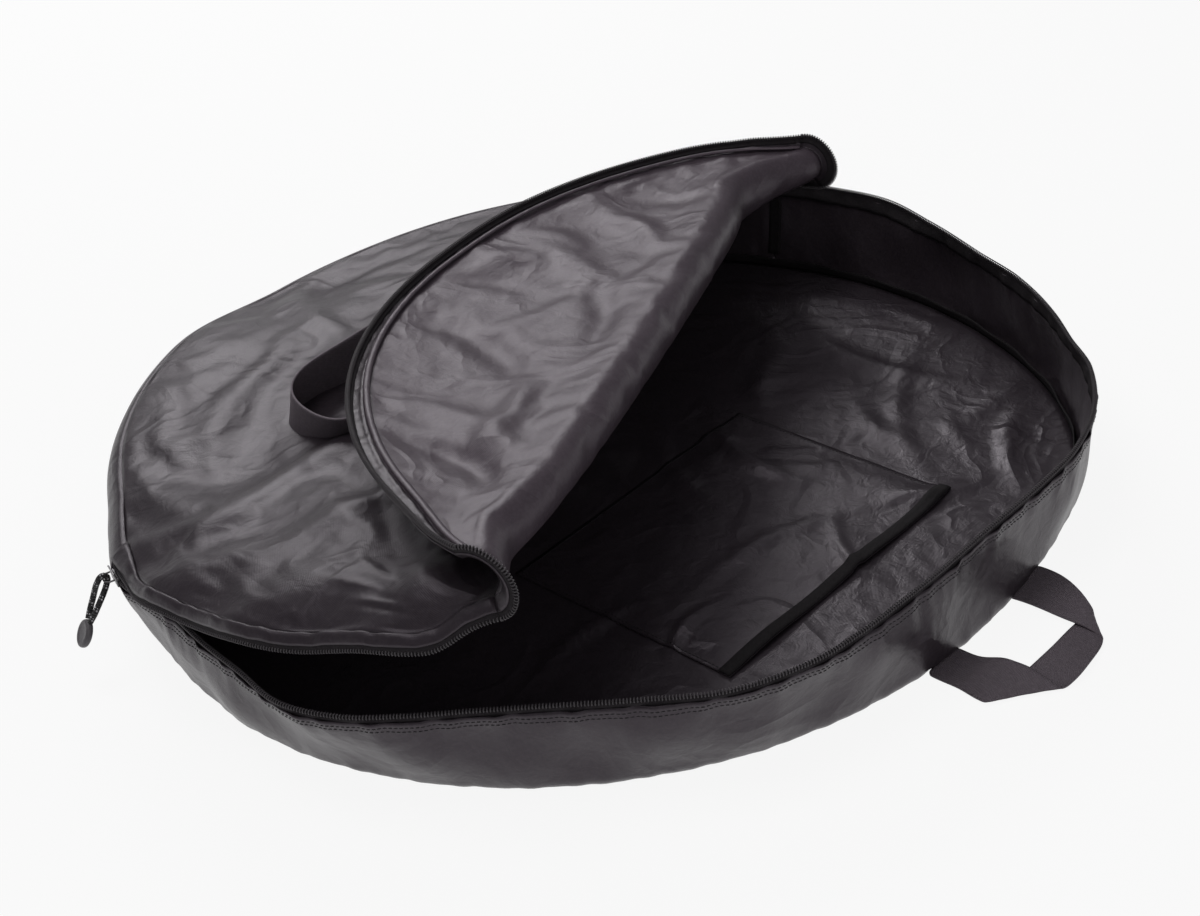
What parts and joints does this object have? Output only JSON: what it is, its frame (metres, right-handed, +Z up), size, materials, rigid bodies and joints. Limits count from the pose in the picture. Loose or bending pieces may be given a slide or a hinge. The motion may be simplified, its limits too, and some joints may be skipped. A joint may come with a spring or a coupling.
{
  "type": "bike wheel bag",
  "caption": "Round zipped nylon bag for a bicycle wheel, lying open with its lid folded back; webbing carry handles, floor pocket and a corded zip pull.",
  "frame": {"origin": "middle of the bag's round underside, on the surface it lies on", "axes": "+Z up out of the bag's mouth, +X to the right and +Y away, as the picture looks at it"},
  "size_m": [0.7269, 0.7163, 0.1967],
  "materials": {
    "shell_nylon": "charcoal coated nylon, soft sheen",
    "lining_nylon": "inner face of the same nylon, a little lighter",
    "webbing": "matt black woven webbing and binding tape",
    "zip_tape": "matt black woven tape",
    "zip_coil": "dark grey moulded coil",
    "zip_metal": "dark gunmetal",
    "cord": "braided, black with pale flecks",
    "toggle_plastic": "grey moulded plastic"
  },
  "bodies": {
    "bag_base": {"base_panel": "shell_nylon", "front_gusset": "shell_nylon", "hinge_gusset": "shell_nylon", "floor_seam_binding": "webbing", "left_side_seam": "webbing", "right_side_seam": "webbing", "base_zip_tape": "zip_tape", "base_zip_coil": "zip_coil", "bottom_zip_stop": "zip_metal", "top_zip_stop": "zip_metal", "floor_pocket": "lining_nylon", "pocket_hem": "webbing", "lid_panel_rear": "shell_nylon"},
    "lid": {"lid_panel_front": "shell_nylon", "lid_gusset": "shell_nylon", "lid_zip_tape": "zip_tape", "lid_zip_coil": "zip_coil", "lid_seam_binding": "webbing", "lid_end_gusset": "shell_nylon", "lid_end_zip_tape": "zip_tape", "lid_end_zip_coil": "zip_coil", "lid_end_seam_binding": "webbing", "fold_roll": "lining_nylon", "front_fold_gusset": "shell_nylon", "rear_fold_gusset": "shell_nylon", "front_fold_zip": "zip_coil", "rear_fold_zip": "zip_coil"},
    "flap": {"flap_panel": "lining_nylon", "flap_gusset": "shell_nylon", "flap_zip_tape": "zip_tape", "flap_zip_coil": "zip_coil", "flap_seam_binding": "webbing"},
    "slider": {"zip_slider": "zip_metal", "slider_bail": "zip_metal"},
    "pull": {"pull_cord": "cord", "pull_toggle": "toggle_plastic"},
    "base_handle": {"base_handle": "webbing"},
    "lid_handle": {"lid_handle": "webbing"}
  },
  "joints": [
    {"name": "lid_lift", "type": "hinge", "parent": "bag_base", "child": "lid", "pos_m": [0.18518, 0.28515, 0.092], "axis": [-0.7694, -0.6388, 0], "range_deg": [-11, 4]},
    {"name": "flap_fold", "type": "hinge", "parent": "lid", "child": "flap", "pos_m": [0.24798, 0.23295, 0.12187], "axis": [-0.4701, -0.8796, 0.0732], "range_deg": [-171, 0], "deforming": ["fold_roll", "front_fold_gusset", "rear_fold_gusset", "front_fold_zip", "rear_fold_zip"]},
    {"name": "slider_travel", "type": "hinge", "parent": "bag_base", "child": "slider", "pos_m": [0, 0, 0.079], "axis": [0, 0, 1], "range_deg": [0, 210.5]},
    {"name": "pull_swing", "type": "hinge", "parent": "slider", "child": "pull", "pos_m": [-0.33704, -0.15289, 0.079], "axis": [-0.4131, 0.9107, 0], "range_deg": [-40, 120]},
    {"name": "base_handle_swing", "type": "hinge", "parent": "bag_base", "child": "base_handle", "pos_m": [0.24217, -0.24217, 0.001], "axis": [-0.7071, -0.7071, 0], "range_deg": [0, 65]},
    {"name": "lid_handle_swing", "type": "hinge", "parent": "flap", "child": "lid_handle", "pos_m": [-0.13797, -0.06705, 0.16296], "axis": [-0.101, -0.992, 0.0755], "range_deg": [-46, 2]}
  ]
}
